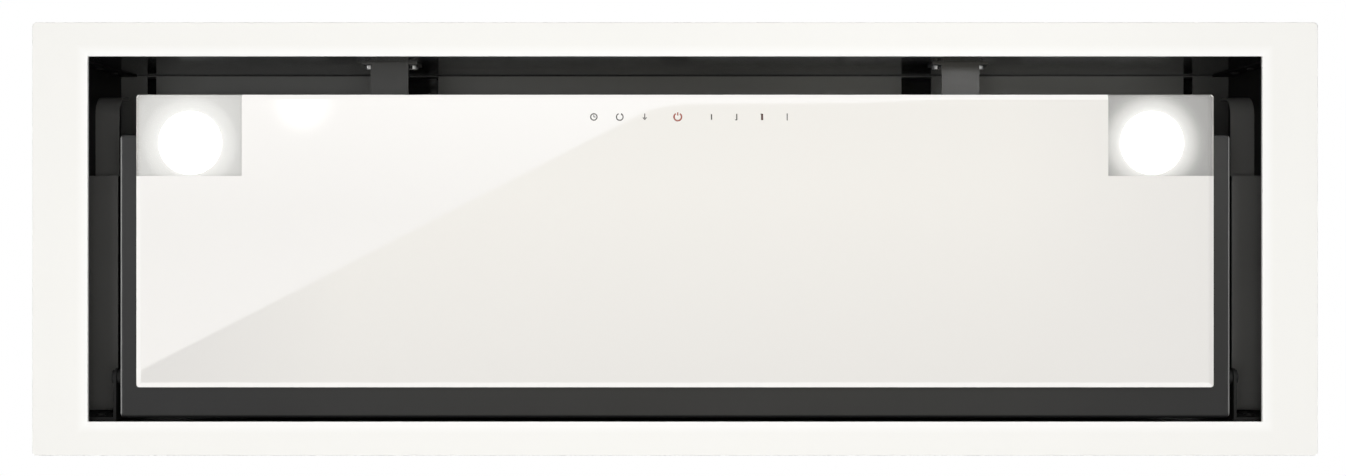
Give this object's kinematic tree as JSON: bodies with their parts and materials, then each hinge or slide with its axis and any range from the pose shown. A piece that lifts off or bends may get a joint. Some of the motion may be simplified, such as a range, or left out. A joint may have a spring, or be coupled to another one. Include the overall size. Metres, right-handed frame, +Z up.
{
  "type": "built-in range hood",
  "caption": "Built-in range hood with a white trim frame, a hinged white glass suction panel with LED lamps and touch keys, grease filters, blower and duct outlet.",
  "frame": {"origin": "centre of the cabinet cut-out, in the plane of the cabinet's underside (the trim's upper face)", "axes": "+Z up, -Y towards the cook (the touch-key side), +X to the right when seen from above with the front towards the viewer"},
  "size_m": [0.89, 0.3, 0.3743],
  "materials": {
    "white_trim": "smooth white powder coat",
    "black_coat": "fine black powder coat",
    "grey_coat": "satin dark grey paint",
    "black_steel": "blackened steel",
    "zinc_sheet": "galvanised sheet",
    "zinc_plate": "zinc-plated steel",
    "aluminium": "bare aluminium",
    "bright_steel": "bright steel",
    "white_glass": "glossy glass, printed white on its back",
    "lamp_silver": "satin silver reflector plate",
    "lens": "opal lens, lit",
    "black_plastic": "black moulded plastic",
    "grey_plastic": "grey moulded plastic",
    "white_plastic": "white moulded plastic",
    "rubber": "black rubber",
    "magnet": "ferrite magnet in a black holder"
  },
  "bodies": {
    "casing": {"trim_frame": "white_trim", "trim_nuts": "zinc_plate", "casing_front": "black_coat", "casing_rear": "black_coat", "casing_left": "black_coat", "casing_right": "black_coat", "filter_deck": "grey_coat", "roof_plate": "black_coat", "casing_rivets": "black_steel", "casing_screws": "zinc_plate", "side_baffles": "grey_coat", "catch_bracket_left": "grey_coat", "catch_bracket_right": "grey_coat", "catch_magnets": "magnet", "hinge_bracket_left": "black_steel", "hinge_bracket_right": "black_steel", "filter_rails": "grey_coat", "turret_front": "zinc_sheet", "turret_rear": "zinc_sheet", "turret_left": "zinc_sheet", "turret_right": "zinc_sheet", "turret_lid": "zinc_sheet", "outlet_collar": "black_plastic", "damper_pin": "bright_steel", "scroll_wrap": "grey_plastic", "scroll_side_left": "grey_plastic", "scroll_side_right": "grey_plastic", "motor": "zinc_plate", "motor_bracket": "zinc_sheet", "capacitor": "white_plastic", "control_box": "grey_plastic", "control_box_lid": "grey_plastic", "terminal_block": "white_plastic", "cable_gland": "black_plastic", "filter_frame_left": "aluminium", "filter_frame_middle": "aluminium", "filter_frame_right": "aluminium", "filter_mesh_left": "aluminium", "filter_mesh_middle": "aluminium", "filter_mesh_right": "aluminium"},
    "panel": {"panel_tray": "grey_coat", "hinge_pins": "black_steel", "strike_plates": "zinc_plate", "glass_panel": "white_glass", "glass_pads": "rubber", "lamp_plate_left": "lamp_silver", "lamp_plate_right": "lamp_silver", "lamp_lens_left": "lens", "lamp_lens_right": "lens", "lamp_housings": "aluminium", "touch_module": "black_plastic"},
    "impeller": {"impeller_wheel": "black_plastic", "motor_shaft": "bright_steel"},
    "damper_front": {"damper_flap_front": "black_plastic"},
    "damper_rear": {"damper_flap_rear": "black_plastic"},
    "latch_left": {"filter_latch_left": "black_plastic"},
    "latch_middle": {"filter_latch_middle": "black_plastic"},
    "latch_right": {"filter_latch_right": "black_plastic"}
  },
  "joints": [
    {"name": "panel_hinge", "type": "hinge", "parent": "casing", "child": "panel", "pos_m": [0, 0.0966, 0.014], "axis": [1, 0, 0], "range_deg": [0, 90]},
    {"name": "impeller_spin", "type": "hinge", "parent": "casing", "child": "impeller", "pos_m": [0, -0.031, 0.23606], "axis": [1, 0, 0], "continuous": true},
    {"name": "damper_front_swing", "type": "hinge", "parent": "casing", "child": "damper_front", "pos_m": [0, 0, 0.32831], "axis": [-1, 0, 0], "range_deg": [0, 75]},
    {"name": "damper_rear_swing", "type": "hinge", "parent": "casing", "child": "damper_rear", "pos_m": [0, 0, 0.32831], "axis": [1, 0, 0], "range_deg": [0, 75]},
    {"name": "latch_left_slide", "type": "slide", "parent": "casing", "child": "latch_left", "axis": [0, 1, 0], "range_m": [0, 0.006], "stiffness_N_per_m": 400},
    {"name": "latch_middle_slide", "type": "slide", "parent": "casing", "child": "latch_middle", "axis": [0, 1, 0], "range_m": [0, 0.006], "stiffness_N_per_m": 400},
    {"name": "latch_right_slide", "type": "slide", "parent": "casing", "child": "latch_right", "axis": [0, 1, 0], "range_m": [0, 0.006], "stiffness_N_per_m": 400}
  ]
}
